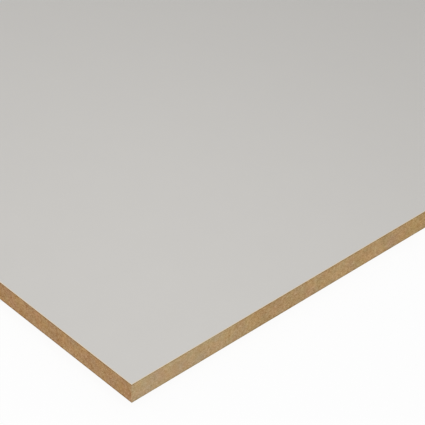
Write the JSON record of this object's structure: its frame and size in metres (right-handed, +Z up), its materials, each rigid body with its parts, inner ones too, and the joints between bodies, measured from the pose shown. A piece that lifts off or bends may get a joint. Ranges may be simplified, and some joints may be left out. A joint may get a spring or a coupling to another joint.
{
  "type": "faced mdf panel",
  "caption": "Flat rectangular MDF panel with a smooth light grey facing and bare brown sawn edges, cut and joined into shelves, furniture and wall linings.",
  "frame": {"origin": "middle of the underside, on the floor that the panel lies on", "axes": "+X along the panel's length, +Y across its width, +Z up and out of the top face"},
  "size_m": [1.22, 0.61, 0.018],
  "materials": {
    "fibreboard": "matte",
    "grey_facing": "satin"
  },
  "bodies": {
    "root": {"back_facing": "grey_facing", "mdf_core": "fibreboard", "top_facing": "grey_facing"}
  },
  "joints": []
}
